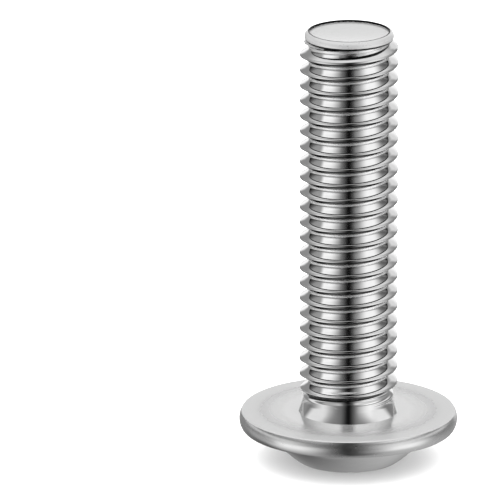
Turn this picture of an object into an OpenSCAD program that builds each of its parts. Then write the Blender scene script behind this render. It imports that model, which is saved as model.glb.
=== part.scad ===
// Flanged button head screw, M5 x 0.8, 20 mm long, right-hand thread, 3 mm hexagon socket.
// It stands on its head with the thread upwards. Z is its axis, and Z = 0 is the narrow
// flat ring around the mouth of the socket. Millimetres and degrees.

/* [Thread] */
// Outside diameter, over the crests
thread_d = 5; // [4.8:0.1:5.6]
// Rise in one turn
pitch = 0.8; // [0.7:0.05:0.9]
// Length from the bearing face to the tip
length = 20; // [12:0.5:25]
// Height above the bearing face of a crest on the +X side, which turns the thread about its axis
crest_height = 1.59; // [1.2:0.05:2]
// Height above the bearing face where the groove starts to sink into the neck
runout_start = 0.7; // [0.65:0.05:0.9]
// Height above the bearing face where the thread has its full depth
runout_end = 1.45; // [1.2:0.05:2]
// Diameter of the shallow dish in the face at the tip
tip_d = 4.03; // [3.8:0.05:4.2]
// Depth of that dish
tip_dish = 0.1; // [0.05:0.01:0.15]
// Lean of the tip's bevel from the axis
tip_angle = 27; // [20:1:35]
// Radius of the rounded edge between the bevel and the dish
tip_round = 0.25; // [0.15:0.05:0.3]
// Straight steps in one turn of the thread
turn_steps = 36; // [24:4:40]

/* [Neck] */
// Diameter of the plain neck under the thread
neck_d = 4.61; // [4.4:0.05:4.75]
// Diameter of the flare where the neck meets the bearing face
flare_d = 5.06; // [4.9:0.05:5.7]
// Height of that flare
flare_h = 0.5; // [0.2:0.05:0.6]

/* [Flange] */
// Diameter over the rounded rim
flange_d = 11.1; // [10.2:0.1:12]
// Thickness
flange_t = 0.88; // [0.8:0.02:1.2]
// How far the rounded rim stands out past the edges of the two faces
rim_bulge = 0.14; // [0.05:0.01:0.3]

/* [Dome] */
// Height of the dome over the flange
dome_h = 1.68; // [1.4:0.02:1.9]
// Diameter where the dome meets the level of the flange's face
dome_foot_d = 8.24; // [7.6:0.05:8.5]
// Diameter of the flat ring that the dome ends in
land_d = 5.2; // [5:0.05:5.6]
// Outside diameter of the shallow groove around the dome
groove_d = 8.56; // [8.4:0.02:9]
// Depth of that groove
groove_depth = 0.15; // [0.05:0.05:0.3]
// How far the outer wall of the groove leans inwards
groove_lean = 0.03; // [0:0.01:0.05]

/* [Socket] */
// Size of the hexagon across its flats
socket_s = 3; // [2.5:0.1:3.2]
// Depth of the socket from the flat ring
socket_depth = 1.75; // [1.5:0.05:2]
// Diameter of the countersink at the mouth
sink_d = 4.96; // [4.6:0.02:4.98]
// Slope of the countersink from level
sink_angle = 30; // [20:1:40]

/* [Hidden] */

// A $fn above 12 keeps round surfaces round
$fn = 96;
// Overlap that makes cuts and joints clean
lap = 0.2;
// The thread's foot lies this far inside the surface of the neck
foot_inset = 0.01;

// Basic 60 degree thread profile
flank_angle = 30;
flank_rise = 1 / tan(flank_angle);
profile_h = pitch / (2 * tan(flank_angle));
crest_r = thread_d / 2;
crest_half = pitch / 16;
root_round_r = profile_h / 6;
root_r = crest_r - 17 / 24 * profile_h;
flank_foot_r = root_r + root_round_r * (1 - sin(flank_angle));
flank_foot_dz = pitch / 2 - crest_half - (crest_r - flank_foot_r) / flank_rise;

// Heights above Z = 0
head_h = flange_t + dome_h;
bearing_z = head_h;
tip_z = bearing_z + length;
groove_z = dome_h + groove_depth;
neck_top_z = bearing_z + runout_start;
full_z = bearing_z + runout_end;
rod_z = neck_top_z - lap;
// Where the bevel ends in the rounded edge of the tip
bevel_z = tip_z - tip_round * (1 - sin(tip_angle));

// Radii
neck_r = neck_d / 2;
tip_r = tip_d / 2;
bevel_top_r = tip_r + tip_round * cos(tip_angle);
foot_r = neck_r - foot_inset;
rim_edge_r = flange_d / 2 - rim_bulge;
rim_r = (pow(flange_t / 2, 2) + pow(rim_bulge, 2)) / (2 * rim_bulge);

// The dome is a sphere through its foot and the flat ring
dome_foot_r = dome_foot_d / 2;
land_r = land_d / 2;
dome_z = (pow(dome_foot_r, 2) - pow(land_r, 2) + pow(dome_h, 2)) / (2 * dome_h);
dome_r = sqrt(pow(land_r, 2) + pow(dome_z, 2));

// Columns of points around the thread, and the rows of points in one pitch
first_crest_z = bearing_z + crest_height
    - pitch * (1 + ceil((bearing_z + crest_height - rod_z) / pitch));
columns = turn_steps * ceil((tip_z + pitch - first_crest_z) / pitch + 1);
rows = 5;
// Rows that come this close to an end of the thread end in its rim
snap = 0.06 * pitch;
// Rings of points from the end of the bevel to the edge of the dish
edge_rings = 4;

function column_angle(i) = 360 * i / turn_steps;
function crest_z(i) = first_crest_z + pitch * i / turn_steps;
function bevel_r(z) = bevel_top_r + (bevel_z - z) * tan(tip_angle);

// 0 on the neck, 1 where the thread has its full depth, and smooth between
function fade_part(z) = min(1, max(0, (z - neck_top_z) / (full_z - neck_top_z)));
function fade(z) = pow(fade_part(z), 2) * (3 - 2 * fade_part(z));

// Heights at which the flanks of a crest reach it, or reach the bevel of the tip first
function lower_edge_z(c) = min(c - crest_half,
    (bevel_r(0) - flank_foot_r + (c - pitch / 2 + flank_foot_dz) * flank_rise)
        / (flank_rise + tan(tip_angle)));
function upper_edge_z(c) = max(c + crest_half,
    (flank_foot_r + (c + pitch / 2 - flank_foot_dz) * flank_rise - bevel_r(0))
        / (flank_rise - tan(tip_angle)));

// Profile around a crest at height c: root, flank foot, two crest edges and flank foot
function profile_z(c, row) =
    row == 0 ? c - pitch / 2
    : row == 1 ? c - pitch / 2 + flank_foot_dz
    : row == 2 ? lower_edge_z(c)
    : row == 3 ? upper_edge_z(c)
    : c + pitch / 2 - flank_foot_dz;
function profile_r(row) =
    row == 0 ? root_r
    : row == 2 || row == 3 ? crest_r
    : flank_foot_r;
function cut_r(z, row) = foot_r + (min(profile_r(row), bevel_r(z)) - foot_r) * fade(z);

function on_circle(r, angle, z) = [r * cos(angle), r * sin(angle), z];
function thread_point(i, row) =
    let (z = profile_z(crest_z(i), row))
    on_circle(cut_r(z, row), column_angle(i), z);

// Ring 0 is the lower rim, ring 1 the end of the bevel and the last ring the floor of the dish
function ring_number(ring, i) = ring * turn_steps + i % turn_steps;

// Number of a point in the thread, or in the rim that its row ends in
function point_number(i, row) =
    row == rows ? point_number(i + turn_steps, 0)
    : let (z = profile_z(crest_z(i), row))
    z < rod_z + snap ? ring_number(0, i)
    : z > bevel_z - snap ? ring_number(1, i)
    : ring_number(3 + edge_rings, 0) + i * rows + row;

// The two triangles between four points, without one that has shrunk to a line
function is_triangle(t) = t[0] != t[1] && t[1] != t[2] && t[2] != t[0];
function patch(a, b, c, d) = [for (t = [[a, d, c], [a, c, b]]) if (is_triangle(t)) t];

module threaded_rod() {
    steps = [0 : turn_steps - 1];
    lower_rim = [for (i = steps) on_circle(foot_r, column_angle(i), rod_z)];
    tip_edge = [
        for (ring = [0 : edge_rings])
            let (lean = tip_angle + (90 - tip_angle) * ring / edge_rings,
                r = tip_r + tip_round * cos(lean),
                z = tip_z - tip_round * (1 - sin(lean)))
            for (i = steps) on_circle(r, column_angle(i), z)
    ];
    dish_floor = [for (i = steps) on_circle(tip_r, column_angle(i), tip_z - tip_dish)];
    thread = [for (i = [0 : columns - 1], row = [0 : rows - 1]) thread_point(i, row)];
    thread_faces = [
        for (i = [0 : columns - turn_steps - 2], row = [0 : rows - 1])
            each patch(point_number(i, row), point_number(i + 1, row),
                point_number(i + 1, row + 1), point_number(i, row + 1))
    ];
    edge_faces = [
        for (ring = [1 : edge_rings + 1], i = steps)
            each patch(ring_number(ring, i), ring_number(ring, i + 1),
                ring_number(ring + 1, i + 1), ring_number(ring + 1, i))
    ];
    lower_end = [for (i = steps) i];
    tip_face = [for (i = [turn_steps - 1 : -1 : 0]) ring_number(2 + edge_rings, i)];
    polyhedron(concat(lower_rim, tip_edge, dish_floor, thread),
        concat(thread_faces, edge_faces, [lower_end, tip_face]));
}

// Half section of the flange with the groove around the dome, the flare and the neck
module flange_and_neck_section() {
    polygon([
        [0, groove_z],
        [groove_d / 2 - groove_lean, groove_z],
        [groove_d / 2, dome_h],
        [rim_edge_r - lap / 2, dome_h],
        [rim_edge_r - lap / 2, bearing_z],
        [flare_d / 2, bearing_z],
        [neck_r, bearing_z + flare_h],
        [neck_r, neck_top_z],
        [0, neck_top_z],
    ]);
}

// The rim's rounded section, which meets both faces at an edge
module rim_section() {
    intersection() {
        translate([flange_d / 2 - rim_r, dome_h + flange_t / 2]) circle(r = rim_r);
        translate([rim_edge_r - lap, dome_h]) square([lap + 2 * rim_bulge, flange_t]);
    }
}

module dome_section() {
    intersection() {
        translate([0, dome_z]) circle(r = dome_r);
        square([dome_r, groove_z + lap]);
    }
}

// Hexagon socket with a conical countersink at its mouth
module socket() {
    sink_bottom_r = socket_s / 4;
    sink_mouth_r = sink_d / 2 + lap / tan(sink_angle);
    sink_h = (sink_mouth_r - sink_bottom_r) * tan(sink_angle);
    translate([0, 0, -lap]) {
        cylinder(h = lap + socket_depth, r = socket_s / (2 * cos(30)), $fn = 6);
        cylinder(h = sink_h, r1 = sink_mouth_r, r2 = sink_bottom_r);
    }
}

module screw() {
    color("silver")
    union() {
        difference() {
            rotate_extrude() {
                flange_and_neck_section();
                rim_section();
                dome_section();
            }
            socket();
        }
        threaded_rod();
    }
}

screw();
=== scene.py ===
from math import asin, ceil, cos, degrees, hypot, radians, sin, sqrt, tan

import bmesh
import bpy
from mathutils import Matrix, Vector


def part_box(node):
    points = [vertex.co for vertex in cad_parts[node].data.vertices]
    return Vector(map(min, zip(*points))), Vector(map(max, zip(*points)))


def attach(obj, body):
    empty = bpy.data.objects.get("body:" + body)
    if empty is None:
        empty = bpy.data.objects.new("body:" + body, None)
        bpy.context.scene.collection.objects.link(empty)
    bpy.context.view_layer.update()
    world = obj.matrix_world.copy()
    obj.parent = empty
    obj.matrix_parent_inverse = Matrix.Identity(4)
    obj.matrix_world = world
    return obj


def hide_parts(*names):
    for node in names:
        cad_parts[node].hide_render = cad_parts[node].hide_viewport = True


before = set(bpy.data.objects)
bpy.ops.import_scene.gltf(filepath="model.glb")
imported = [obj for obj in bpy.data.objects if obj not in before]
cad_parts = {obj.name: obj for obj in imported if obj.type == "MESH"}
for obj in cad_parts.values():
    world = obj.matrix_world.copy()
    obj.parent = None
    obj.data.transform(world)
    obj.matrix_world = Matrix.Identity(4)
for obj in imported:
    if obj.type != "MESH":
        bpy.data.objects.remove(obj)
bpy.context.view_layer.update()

# The CAD model's height and flange set the screw's own
cad_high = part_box("screw")[1]
TIP_Z = cad_high.z
FLANGE_R = cad_high.x
LENGTH = 0.02
BEARING_Z = TIP_Z - LENGTH

# Thread
CREST_R = 0.0025
PITCH = 0.0008
CREST_HEIGHT = 0.00159
RUNOUT_START = 0.0007
RUNOUT_END = 0.00145
DISH_R = 0.002015
DISH_DEPTH = 0.0001
TIP_ROUND = 0.00025
# The rounded edge of the tip goes on under its widest place, with its foot painted near-black as
# shade
BEAD_ANGLES = (-35, -20, 90)
# Where the thread starts in the gap under that edge, and the lean of the bevel of its crest
START_R = 0.00214
START_DEPTH = 0.00046
START_RISE = 0.00005
BEVEL_ANGLE = 40

# Head
NECK_R = 0.002305
FLARE_R = 0.00253
FLARE_H = 0.0005
FLANGE_T = 0.00088
RIM_BULGE = 0.00014
DOME_H = BEARING_Z - FLANGE_T
DOME_FOOT_R = 0.00412
LAND_R = 0.0026
GROOVE_R = 0.00428
GROOVE_DEPTH = 0.00015
GROOVE_LEAN = 0.00003

# Socket
SOCKET_S = 0.003
SOCKET_DEPTH = 0.00175
SINK_R = 0.00248
SINK_ANGLE = 30

# How far the small roundings of the edges reach along both sides
CREST_ROUND = 0.00002
EDGE_ROUND = 0.00003
DISH_EDGE_ROUND = 0.000012
# The most of a side that a rounding takes
ROUND_SHARE = 0.45
# The crest's upper edge lies this much further in than its lower edge
CREST_LEAN = 0.000018
# The bearing face and the floor of the tip's dish sink this far towards their middle
FACE_HOLLOW = 0.00003
DISH_HOLLOW = 0.0001
# The neck is this much thicker at the flare than at the thread
NECK_TAPER = 0.000045

# Fineness of the mesh, with a multiple of 6 columns so that some meet the hexagon's corners
COLUMNS = 144
COLUMN_ANGLE = 360 / COLUMNS
RIM_STEPS = 14
DOME_STEPS = 16
TIP_STEPS = 8
FILLET_STEPS = 4
CREST_STEPS = 2
# Rings of points in the socket's floor and in the dish, as shares of their radius
FLOOR_SHARES = (0.3, 0.6)
DISH_SHARES = (0.9, 0.8, 0.65, 0.5, 0.3, 0.15)
# Edges that turn more than this stay sharp
SHARP_ANGLE = 40

# 60 degree thread profile, with its root's rounding as turns from the bottom of the groove
FLANK_ANGLE = 30
FLANK_RISE = 1 / tan(radians(FLANK_ANGLE))
PROFILE_H = PITCH / (2 * tan(radians(FLANK_ANGLE)))
CREST_HALF = PITCH / 16
ROOT_ROUND = PROFILE_H / 6
ROOT_R = CREST_R - 17 / 24 * PROFILE_H
ROOT_TURNS = (0, 20, 40, 60)
# Share of the lower flank, from the root, that the upper flank below it reflects. Most of the
# rest, up to the crest, is painted near-black as shade
MIRRORED_SHARE = 0.76
# Share of the upper flank, from the crest, in its first strip
UPPER_SHARE = 0.5

# Where the thread starts in the neck and ends in the tip's bevel
NECK_TOP_Z = BEARING_Z + RUNOUT_START
FULL_Z = BEARING_Z + RUNOUT_END
# The lower flank of the run-out is painted near-black, as painted shade, while the bottom of its
# groove is between these heights
PAINTED_SHADE_ROOT_LOW = BEARING_Z + 0.00085
PAINTED_SHADE_ROOT_HIGH = BEARING_Z + 0.00117
BEVEL_SLOPE = tan(radians(BEVEL_ANGLE))
BEVEL_R = START_R + START_RISE
BEVEL_Z = TIP_Z - START_DEPTH
BEVEL_CREST_Z = BEVEL_Z - (CREST_R - BEVEL_R) / BEVEL_SLOPE
# Points of the thread this close to one of its ends become part of that end
SNAP = 0.03 * PITCH
TURNS_BELOW = 1 + ceil((BEARING_Z + CREST_HEIGHT - NECK_TOP_Z) / PITCH)
FIRST_CREST_Z = BEARING_Z + CREST_HEIGHT - PITCH * TURNS_BELOW
TURNS = 1 + ceil((TIP_Z - FIRST_CREST_Z) / PITCH)

# Photo's view
CAMERA_DISTANCE = 0.6
CAMERA_ELEVATION = 17.02
CAMERA_AIM = Vector((-0.004998, 0, 0.011014))
PIXELS_PER_METRE = 19744
IMAGE_WIDTH = 500
SENSOR_WIDTH = 36
CLIP_START = 0.01
CLIP_END = 20

# Floor, just under the screw
FLOOR_REACH = 1
FLOOR_Z = -0.00002
FLOOR_BRIGHTNESS = 0.8

# Light that matt surfaces get from all sides, and the backdrop that the camera sees
MATT_LIGHT = 3
BACKDROP_LEVEL = 1
# Room that the steel reflects, seen by direction in degrees: azimuth from the viewer's side to
# the right, and elevation. Each panel is (middle, half width or height, softness) and covers the
# panels before it. Some are named for the part of the screw that shows them.
WALL_LEVEL = 0.28
PANELS = {
    "ceiling": dict(level=0.76, up=(90, 51, 27)),
    "floor": dict(level=0.3, slope=0.44, up=(-90, 59, 52)),
    "back": dict(level=0.75, across=(173, 24, 8), up=(30, 41, 40)),
    "back_low": dict(level=1.03, across=(173, 24, 8), up=(2, 9, 16)),
    "left_box": dict(level=1.47, across=(-62.5, 32, 45), up=(-23, 22, 100), lean=0.2),
    "right_box": dict(level=1.19, across=(64, 25, 35), up=(0, 36, 16), lean=-0.04),
    "left_shade": dict(level=0.42, across=(-106, 22, 16), up=(-5, 25, 14)),
    "neck_wall": dict(level=0.2, across=(0, 130, 40), up=(8, 15, 8)),
    "neck_left": dict(level=0.85, across=(-66, 18, 50), up=(3, 12, 10)),
    "neck_right": dict(level=1.0, across=(56, 24, 54), up=(3, 12, 10)),
    "flare_left": dict(level=0.8, across=(-98, 36, 30), up=(8, 5, 5)),
    "flare_right": dict(level=0.85, across=(92, 34, 30), up=(8, 5, 5)),
    "front": dict(level=0.14, across=(-1.6, 20, 19), up=(4, 53, 17)),
    "gap": dict(level=0.007, across=(-0.5, 10.5, 19), up=(-7, 57, 26)),
    "floor_gap": dict(level=0, across=(14, 24, 31), up=(-53, 8, 32)),
}

# Faint uneven marks in the steel, longer around the axis than along it
GRAIN_SIZE = 0.0006
GRAIN_STRETCH = 3
GRAIN_DETAIL = 3
GRAIN_DEPTH = 0.0000002
# Heights of the marks that count as their darkest and their lightest
GRAIN_DARK = 0.2
GRAIN_LIGHT = 0.8
COLOUR_SPREAD = 0.02
ROUGHNESS_SPREAD = 0.2

# Looks of the steel in each of its finishes, some of which paint shade or light as noted
LOOKS = {
    "polished_steel": dict(brightness=0.9, roughness=0.055),
    "satin_steel": dict(brightness=0.76, roughness=0.25),
    # Faced steel of the bearing face, with its colour painted paler near the flare as painted
    # light
    "faced_steel_painted_light": dict(brightness=0.82, roughness=0.15, metallic=0.93, marks=0.3),
    "crest_steel": dict(brightness=0.8, roughness=0.1),
    "root_steel": dict(brightness=0.97, roughness=0.35, metallic=0.94),
    # shaded_steel mirrors light head-on, but its black edge tint paints shade on the lower flanks
    # where they are seen at a flat angle
    "shaded_steel": dict(brightness=0.85, roughness=0.04, edge=0),
    "bead_steel": dict(brightness=0.42, roughness=0.3, metallic=0.55),
    # Near-black paint for shade: under the thread's crests, in the gap under the tip's edge and
    # on the dish's wall
    "painted_shade_steel": dict(brightness=0.01, roughness=0.4),
    "dished_steel": dict(brightness=0.5, roughness=0.15, metallic=0.7, marks=0.5),
}
# The same finishes as numbers of the material slots
POLISHED, SATIN, FACED_WITH_PAINTED_LIGHT, CREST, ROOT, SHADED, BEAD, PAINTED_SHADE, DISHED = range(len(LOOKS))
# What the bearing face's look changes to, and the radii between which it changes. Its base colour
# is painted paler near the flare, as painted light that makes up for the neck's shade and dark
# reflection
FACE_CHANGES = {
    "brightness": dict(socket="Base Color", inner_r=0.0031, outer_r=0.0045, outer=0.295),
    "roughness": dict(socket="Roughness", inner_r=0.0033, outer_r=0.0049, outer=0.3),
    "metallic": dict(socket="Metallic", inner_r=0.0033, outer_r=0.0049, outer=0.2),
}

# Finish of each strip of the thread's profile: root, lower flank, crest, upper flank and root.
# The near-black strips, where the root's rounding meets the lower flank and on the lower flank
# next to the crest, are painted shade under each crest
THREAD_FINISHES = (
    [ROOT] * 2 + [PAINTED_SHADE, SHADED] + [PAINTED_SHADE] * 2 + [SHADED] + [CREST] * 3 + [POLISHED] * 4 + [ROOT]
)
CREST_STRIP = THREAD_FINISHES.index(CREST)
# The lower flank's strips, of which the first is where the root's rounding meets it
LOWER_STRIPS = range(THREAD_FINISHES.index(PAINTED_SHADE), CREST_STRIP)


def smooth_step(t):
    t = min(1, max(0, t))
    return t * t * (3 - 2 * t)


# Lines of points

def arc(centre_r, centre_z, radius, start, end, steps):
    """Points of an arc, from start to end degrees above the level."""
    angles = [radians(start + (end - start) * k / steps) for k in range(steps + 1)]
    return [(centre_r + radius * cos(a), centre_z + radius * sin(a)) for a in angles]


def between(a, b, share):
    return tuple(p + (q - p) * share for p, q in zip(a, b))


def towards(a, b, length):
    """The point at that length from a on the way to b, or nearly half way if that is less."""
    whole = hypot(b[0] - a[0], b[1] - a[1])
    return between(a, b, min(length / whole, ROUND_SHARE)) if whole else a


def rounded(before, corner, after, length, steps):
    """Points of a smooth curve that cuts the corner, over that length of both its sides."""
    start = towards(corner, before, length)
    end = towards(corner, after, length)
    shares = [k / steps for k in range(steps + 1)]
    return [between(between(start, corner, t), between(corner, end, t), t) for t in shares]


def rounded_line(corners):
    """A line of points from corners (r, z, rounding), with each rounded corner cut."""
    points = []
    for k, (r, z, rounding) in enumerate(corners):
        if rounding:
            before, after = corners[k - 1][:2], corners[k + 1][:2]
            points += rounded(before, (r, z), after, rounding, FILLET_STEPS)
        else:
            points.append((r, z))
    return points


def plain(points):
    """The points as corners without a rounding."""
    return [(r, z, 0) for r, z in points]


# Thread

def bevel_r(z):
    return BEVEL_R + (BEVEL_Z - z) * BEVEL_SLOPE


def root_point(root_z, turn):
    a = radians(turn)
    return ROOT_R + ROOT_ROUND * (1 - cos(a)), root_z + ROOT_ROUND * sin(a)


def crest_edges(crest_z, foot, top):
    """Where the lower and the upper flank reach the crest, or the tip's bevel first."""
    cone = BEVEL_R + BEVEL_Z * BEVEL_SLOPE
    low = (cone - foot[0] + foot[1] * FLANK_RISE) / (FLANK_RISE + BEVEL_SLOPE)
    high = (top[0] + top[1] * FLANK_RISE - cone) / (FLANK_RISE - BEVEL_SLOPE)
    low = min(low, crest_z - CREST_HALF)
    high = max(high, crest_z + CREST_HALF)
    return [(min(CREST_R, bevel_r(low)), low), (min(CREST_R - CREST_LEAN, bevel_r(high)), high)]


def faded(point):
    """The point with the thread's depth faded out towards the neck."""
    r, z = point
    fade = smooth_step((z - NECK_TOP_Z) / (FULL_Z - NECK_TOP_Z))
    return NECK_R + (r - NECK_R) * fade, z


def pitch_profile(crest_z):
    """Points of one pitch, upwards from the bottom of the groove below the crest."""
    below = [root_point(crest_z - PITCH / 2, a) for a in ROOT_TURNS]
    above = [root_point(crest_z + PITCH / 2, -a) for a in ROOT_TURNS[:0:-1]]
    low, high = crest_edges(crest_z, below[-1], above[0])
    points = below + [between(below[-1], low, MIRRORED_SHARE)]
    points += rounded(below[-1], low, high, CREST_ROUND, CREST_STEPS)
    points += rounded(low, high, above[0], CREST_ROUND, CREST_STEPS)
    points += [between(high, above[0], UPPER_SHARE)] + above
    return [faded(p) for p in points]


def thread_finish(strip, z, root_z):
    """Finish of a strip at height z, in the groove with its bottom at root_z.

    The first turn's bevel looks like the tip's edge, and the root is smooth in the run-out. In
    the run-out the lower flank is painted near-black as shade where its groove's bottom is
    between two heights, and polished below them.
    """
    if z > BEVEL_CREST_Z and strip == CREST_STRIP:
        return BEAD
    if z > BEVEL_CREST_Z and strip == LOWER_STRIPS[0]:
        return ROOT
    if z < FULL_Z and strip in LOWER_STRIPS and root_z < PAINTED_SHADE_ROOT_HIGH:
        return PAINTED_SHADE if root_z > PAINTED_SHADE_ROOT_LOW else POLISHED
    if z < FULL_Z and THREAD_FINISHES[strip] == ROOT:
        return POLISHED
    return THREAD_FINISHES[strip]


def thread_rows():
    """A profile for each column of the helix, from below the neck's top to above the tip."""
    return [pitch_profile(FIRST_CREST_Z + PITCH * i / COLUMNS) for i in range(TURNS * COLUMNS)]


# Head

def hexagon_r(column):
    return SOCKET_S / 2 / cos(radians(column * COLUMN_ANGLE % 60 - 30))


def sink_z(r):
    return (SINK_R - r) * tan(radians(SINK_ANGLE))


def socket_rings():
    """Rings with a point of their own in each column, from the socket's floor to its mouth."""
    rings = []
    for i in range(COLUMNS):
        r = hexagon_r(i)
        floor_corner, mouth_corner = (r, SOCKET_DEPTH), (r, sink_z(r))
        points = [(r * share, SOCKET_DEPTH) for share in FLOOR_SHARES]
        points += rounded((0, SOCKET_DEPTH), floor_corner, mouth_corner, EDGE_ROUND, FILLET_STEPS)
        points += rounded(floor_corner, mouth_corner, (SINK_R, 0), EDGE_ROUND, FILLET_STEPS)
        rings.append(points)
    return [list(ring) for ring in zip(*rings)]


def dome_points():
    """The dome's sphere, between the flat ring and the floor of the groove around it."""
    centre_z = (DOME_FOOT_R**2 - LAND_R**2 + DOME_H**2) / (2 * DOME_H)
    radius = hypot(LAND_R, centre_z)
    heights = [(DOME_H + GROOVE_DEPTH) * k / DOME_STEPS for k in range(1, DOME_STEPS + 1)]
    return [(sqrt(radius**2 - (centre_z - z) ** 2), z) for z in heights]


def rim_points():
    """The rounded rim of the flange, without its two edges."""
    radius = ((FLANGE_T / 2) ** 2 + RIM_BULGE**2) / (2 * RIM_BULGE)
    reach = degrees(asin(FLANGE_T / 2 / radius))
    middle_z = DOME_H + FLANGE_T / 2
    return arc(FLANGE_R - radius, middle_z, radius, -reach, reach, RIM_STEPS)[1:-1]


def head_sections():
    """(section, finish) from the edge of the countersink to the top of the neck."""
    rim_edge_r = FLANGE_R - RIM_BULGE
    groove_z = DOME_H + GROOVE_DEPTH
    sink = (hexagon_r(0), sink_z(hexagon_r(0)), 0)
    ring = [(SINK_R, 0, EDGE_ROUND), (LAND_R, 0, EDGE_ROUND)]
    dome = plain(dome_points())
    groove = [(GROOVE_R - GROOVE_LEAN, groove_z, 0), (GROOVE_R, DOME_H, EDGE_ROUND)]
    rim_low, rim_high = (rim_edge_r, DOME_H, EDGE_ROUND), (rim_edge_r, BEARING_Z, EDGE_ROUND)
    rim = plain(rim_points())
    flare = (FLARE_R, BEARING_Z - FACE_HOLLOW, 0)
    neck = [(NECK_R + NECK_TAPER, BEARING_Z + FLARE_H, 0), (NECK_R, NECK_TOP_Z, 0)]
    return [
        (rounded_line([sink] + ring + dome[:1])[1:-1], POLISHED),
        (rounded_line(dome), POLISHED),
        (rounded_line(dome[-1:] + groove + [rim_low] + rim[:1])[1:-1], SATIN),
        (rounded_line(rim), SATIN),
        (rounded_line(rim[-1:] + [rim_high, flare])[1:], FACED_WITH_PAINTED_LIGHT),
        (rounded_line([flare] + neck)[1:], POLISHED),
    ]


# Tip

def tip_sections():
    """(section, finish) from the gap under the tip's rounded edge to the middle of the dish. The
    gap and the dish's wall are painted near-black as shade.
    """
    foot, shade, top = BEAD_ANGLES
    edge_z = TIP_Z - TIP_ROUND
    gap = arc(DISH_R, edge_z, TIP_ROUND, foot, shade, FILLET_STEPS)
    edge = arc(DISH_R, edge_z, TIP_ROUND, shade, top, TIP_STEPS)
    floor_z = TIP_Z - DISH_DEPTH
    corner = rounded_line([(*edge[-2], 0), (*edge[-1], DISH_EDGE_ROUND), (DISH_R, floor_z, 0)])
    floor = [(DISH_R * share, floor_z - DISH_HOLLOW * (1 - share**2)) for share in DISH_SHARES]
    return [
        # The gap and, further on, the dish's wall are painted shade
        (gap, PAINTED_SHADE),
        (edge[1:-1], BEAD),
        (corner[1:-1] + [(DISH_R, floor_z)], PAINTED_SHADE),
        (floor, DISHED),
    ]


# Mesh

class Skin:
    """A mesh made of rings of vertices, each joined to the last one before it."""

    def __init__(self):
        self.mesh = bmesh.new()
        self.last = None

    def vertex(self, column, r, z):
        a = radians(column * COLUMN_ANGLE)
        return self.mesh.verts.new((r * cos(a), r * sin(a), z))

    def face(self, corners, finish):
        """A face through the corners, which may name a vertex more than once."""
        loop = list(dict.fromkeys(corners))
        if len(loop) > 2:
            self.mesh.faces.new(loop).material_index = finish

    def ring(self, points, finish):
        """A ring with a point of its own for each column."""
        made = [self.vertex(i, *p) for i, p in enumerate(points)]
        if self.last:
            for i in range(COLUMNS):
                k = (i + 1) % COLUMNS
                self.face([self.last[i], self.last[k], made[k], made[i]], finish)
        self.last = made

    def section(self, points, finish):
        """A round ring for each point."""
        for point in points:
            self.ring([point] * COLUMNS, finish)

    def cap(self, z, finish, upwards):
        """Closes the last ring with a point on the axis."""
        middle = self.mesh.verts.new((0, 0, z))
        for i in range(COLUMNS):
            edge = [self.last[i], self.last[(i + 1) % COLUMNS]]
            self.face((edge if upwards else edge[::-1]) + [middle], finish)

    def thread(self, rows, low_ring, high_ring):
        """The helix between two rings. Rows that come close to a ring end in it."""
        made = {}

        def point(i, k):
            """The vertex of point k in the profile of column i."""
            if k == len(rows[0]):
                return point(i + COLUMNS, 0)
            r, z = rows[i][k]
            if z < NECK_TOP_Z + SNAP:
                return low_ring[i % COLUMNS]
            if z > BEVEL_Z - SNAP:
                return high_ring[i % COLUMNS]
            if (i, k) not in made:
                made[i, k] = self.vertex(i, r, z)
            return made[i, k]

        for i in range(len(rows) - COLUMNS - 1):
            root_z = rows[i][0][1]
            for k, (_, z) in enumerate(rows[i]):
                corners = [point(i, k), point(i + 1, k), point(i + 1, k + 1), point(i, k + 1)]
                self.face(corners, thread_finish(k, z, root_z))

    def finished(self, name, materials):
        """The piece, smooth apart from its sharp edges."""
        for face in self.mesh.faces:
            face.smooth = True
        self.mesh.normal_update()
        for edge in self.mesh.edges:
            edge.smooth = edge.calc_face_angle(0) < radians(SHARP_ANGLE)
        piece = placed(name, self.mesh, materials)
        piece.modifiers.new("even normals", "WEIGHTED_NORMAL").keep_sharp = True
        return piece


def placed(name, mesh, materials):
    """An object in the scene, made from the bmesh."""
    data = bpy.data.meshes.new(name)
    mesh.to_mesh(data)
    mesh.free()
    for material in materials:
        data.materials.append(material)
    piece = bpy.data.objects.new(name, data)
    bpy.context.scene.collection.objects.link(piece)
    return piece


def screw():
    """The whole screw as one piece, from the socket's floor around the head to the tip."""
    skin = Skin()
    socket_floor, *socket_wall = socket_rings()
    skin.ring(socket_floor, POLISHED)
    skin.cap(SOCKET_DEPTH, POLISHED, False)
    for ring in socket_wall:
        skin.ring(ring, POLISHED)
    for points, finish in head_sections():
        skin.section(points, finish)
    neck_top = skin.last
    # The thread joins that ring to this one
    skin.last = None
    # This ring, in the gap under the tip's edge, is painted near-black as shade
    skin.section([(START_R, BEVEL_Z)], PAINTED_SHADE)
    skin.thread(thread_rows(), neck_top, skin.last)
    for points, finish in tip_sections():
        skin.section(points, finish)
    skin.cap(TIP_Z - DISH_DEPTH - DISH_HOLLOW, DISHED, True)
    return skin.finished("screw_steel", steel_finishes())


# Nodes

def linked(node, *values):
    """The node's first output, with its inputs set from numbers or linked from sockets."""
    for socket, value in zip(node.inputs, values):
        if isinstance(value, (int, float)):
            socket.default_value = value
        else:
            node.id_data.links.new(value, socket)
    return node.outputs[0]


def math(tree, operation, *values):
    node = tree.nodes.new("ShaderNodeMath")
    node.operation = operation
    return linked(node, *values)


def blended(tree, start, end, share):
    """A value that share of the way from start to end."""
    return math(tree, "MULTIPLY_ADD", math(tree, "SUBTRACT", end, start), share, start)


def mapped(tree, value, low, high, at_low, at_high, steps="LINEAR"):
    """A value that goes from at_low to at_high while the given one goes from low to high."""
    node = tree.nodes.new("ShaderNodeMapRange")
    node.interpolation_type = steps
    return linked(node, value, low, high, at_low, at_high)


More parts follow.
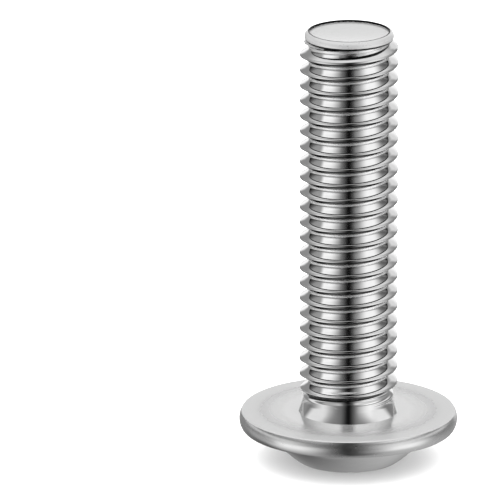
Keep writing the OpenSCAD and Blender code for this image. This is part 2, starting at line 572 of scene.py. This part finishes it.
def axes(tree, coordinates):
    """X, y and z of the object's or the room's coordinates."""
    split = tree.nodes.new("ShaderNodeSeparateXYZ")
    linked(split, tree.nodes.new("ShaderNodeTexCoord").outputs[coordinates])
    return split.outputs


# Steel

def grain(tree):
    """Height of the faint marks, from 0 to 1."""
    place = tree.nodes.new("ShaderNodeTexCoord").outputs["Object"]
    mapping = tree.nodes.new("ShaderNodeMapping")
    mapping.inputs["Scale"].default_value = (1, 1, GRAIN_STRETCH)
    tree.links.new(place, mapping.inputs["Vector"])
    texture = tree.nodes.new("ShaderNodeTexNoise")
    texture.inputs["Scale"].default_value = 1 / GRAIN_SIZE
    texture.inputs["Detail"].default_value = GRAIN_DETAIL
    tree.links.new(mapping.outputs["Vector"], texture.inputs["Vector"])
    return texture.outputs["Fac"]


def spread(tree, mark, middle, share):
    """Values around the middle, from dark to light marks, at most that share away from it."""
    low, high = middle * (1 - share), min(1, middle * (1 + share))
    return mapped(tree, mark, GRAIN_DARK, GRAIN_LIGHT, low, high)


def steel(name, brightness, roughness, metallic=1, edge=1, marks=1):
    """Steel with faint marks. Edge is its tint at a flat angle, and marks their strength."""
    material = bpy.data.materials.new(name)
    material.use_nodes = True
    tree = material.node_tree
    shader = tree.nodes["Principled BSDF"]
    shader.inputs["Metallic"].default_value = metallic
    shader.inputs["Specular Tint"].default_value = (edge, edge, edge, 1)
    mark = grain(tree)
    bump = tree.nodes.new("ShaderNodeBump")
    bump.inputs["Distance"].default_value = GRAIN_DEPTH * marks
    tree.links.new(mark, bump.inputs["Height"])
    tree.links.new(bump.outputs["Normal"], shader.inputs["Normal"])
    colour = spread(tree, mark, brightness, COLOUR_SPREAD * marks)
    gloss = spread(tree, mark, roughness, ROUGHNESS_SPREAD * marks)
    tree.links.new(colour, shader.inputs["Base Color"])
    tree.links.new(gloss, shader.inputs["Roughness"])
    return material


def matt_and_painted_light_by_radius(material, look):
    """Makes the bearing face more matt towards its rim than near the flare, and paints its colour
    paler near the flare as painted light against the neck's shade.
    """
    tree = material.node_tree
    shader = tree.nodes["Principled BSDF"]
    x, y, _ = axes(tree, "Object")
    radius = math(tree, "SQRT", math(tree, "MULTIPLY_ADD", x, x, math(tree, "MULTIPLY", y, y)))
    for quality, change in FACE_CHANGES.items():
        socket = shader.inputs[change["socket"]]
        inner, outer = look[quality], change["outer"]
        reach = change["inner_r"], change["outer_r"]
        value = mapped(tree, radius, *reach, inner, outer, "SMOOTHSTEP")
        if socket.is_linked:
            marks = math(tree, "DIVIDE", socket.links[0].from_socket, inner)
            value = math(tree, "MULTIPLY", value, marks)
        tree.links.new(value, socket)


def steel_finishes():
    """The materials, in the order of the slots."""
    materials = [steel(name, **look) for name, look in LOOKS.items()]
    matt_and_painted_light_by_radius(materials[FACED_WITH_PAINTED_LIGHT], LOOKS["faced_steel_painted_light"])
    return materials


# Floor, room and camera

def pale_floor():
    material = bpy.data.materials.new("pale_floor")
    material.use_nodes = True
    shader = material.node_tree.nodes["Principled BSDF"]
    shader.inputs["Base Color"].default_value = (FLOOR_BRIGHTNESS,) * 3 + (1,)
    shader.inputs["Roughness"].default_value = 1
    shader.inputs["Specular IOR Level"].default_value = 0
    return material


def floor():
    """The floor, which the steel doesn't reflect, because the room has a panel for it."""
    mesh = bmesh.new()
    corners = [(-1, -1), (1, -1), (1, 1), (-1, 1)]
    points = [(x * FLOOR_REACH, y * FLOOR_REACH, FLOOR_Z) for x, y in corners]
    mesh.faces.new([mesh.verts.new(point) for point in points])
    piece = placed("floor", mesh, [pale_floor()])
    piece.visible_glossy = False
    return piece


def window(tree, distance, half, softness):
    """1 up to half the window's size from its middle, and 0 outside its soft edge."""
    outside, inside = half + softness / 2, half - softness / 2
    return mapped(tree, distance, outside, inside, 0, 1, "SMOOTHSTEP")


def panel(tree, direction, behind, level, slope=0, across=None, up=None, lean=0):
    """The light behind, with a soft panel in front. Across and up are middle, half and softness.

    Slope makes the panel brighter to the right, and lean turns its sides from the upright.
    """
    azimuth, elevation, rightwards = direction
    share = 1
    if slope:
        level = math(tree, "MULTIPLY_ADD", rightwards, slope, level)
    if across:
        middle = math(tree, "MULTIPLY_ADD", elevation, lean, across[0])
        off = math(tree, "WRAP", math(tree, "SUBTRACT", azimuth, middle), 180, -180)
        share = window(tree, math(tree, "ABSOLUTE", off), *across[1:])
    if up:
        off = math(tree, "ABSOLUTE", math(tree, "SUBTRACT", elevation, up[0]))
        share = math(tree, "MULTIPLY", window(tree, off, *up[1:]), share)
    return blended(tree, behind, level, share)


def room():
    """Soft studio light. Reflections see the panels, matt surfaces and the camera plain white."""
    world = bpy.data.worlds.new("room")
    world.use_nodes = True
    world.cycles.sampling_method = "NONE"
    bpy.context.scene.world = world
    tree = world.node_tree
    tree.nodes.clear()
    x, y, z = axes(tree, "Generated")
    azimuth = math(tree, "DEGREES", math(tree, "ARCTAN2", x, math(tree, "MULTIPLY", y, -1)))
    elevation = math(tree, "DEGREES", math(tree, "ARCSINE", z))
    light = WALL_LEVEL
    for settings in PANELS.values():
        light = panel(tree, (azimuth, elevation, x), light, **settings)
    path = tree.nodes.new("ShaderNodeLightPath")
    light = blended(tree, light, MATT_LIGHT, path.outputs["Is Diffuse Ray"])
    light = blended(tree, light, BACKDROP_LEVEL, path.outputs["Is Camera Ray"])
    background = tree.nodes.new("ShaderNodeBackground")
    output = tree.nodes.new("ShaderNodeOutputWorld")
    tree.links.new(light, background.inputs["Color"])
    tree.links.new(background.outputs[0], output.inputs["Surface"])


def camera():
    data = bpy.data.cameras.new("camera")
    data.sensor_width = SENSOR_WIDTH
    data.lens = PIXELS_PER_METRE * CAMERA_DISTANCE * SENSOR_WIDTH / IMAGE_WIDTH
    data.clip_start = CLIP_START
    data.clip_end = CLIP_END
    seen_from = Vector((0, -cos(radians(CAMERA_ELEVATION)), sin(radians(CAMERA_ELEVATION))))
    made = bpy.data.objects.new("camera", data)
    made.location = CAMERA_AIM + CAMERA_DISTANCE * seen_from
    made.rotation_euler = seen_from.to_track_quat("Z", "Y").to_euler()
    bpy.context.scene.collection.objects.link(made)
    bpy.context.scene.camera = made


# The scene

piece = screw()
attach(piece, "root")
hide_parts("screw")
ground = floor()
room()
camera()
bpy.context.scene.view_settings.view_transform = "Standard"

bpy.context.view_layer.update()
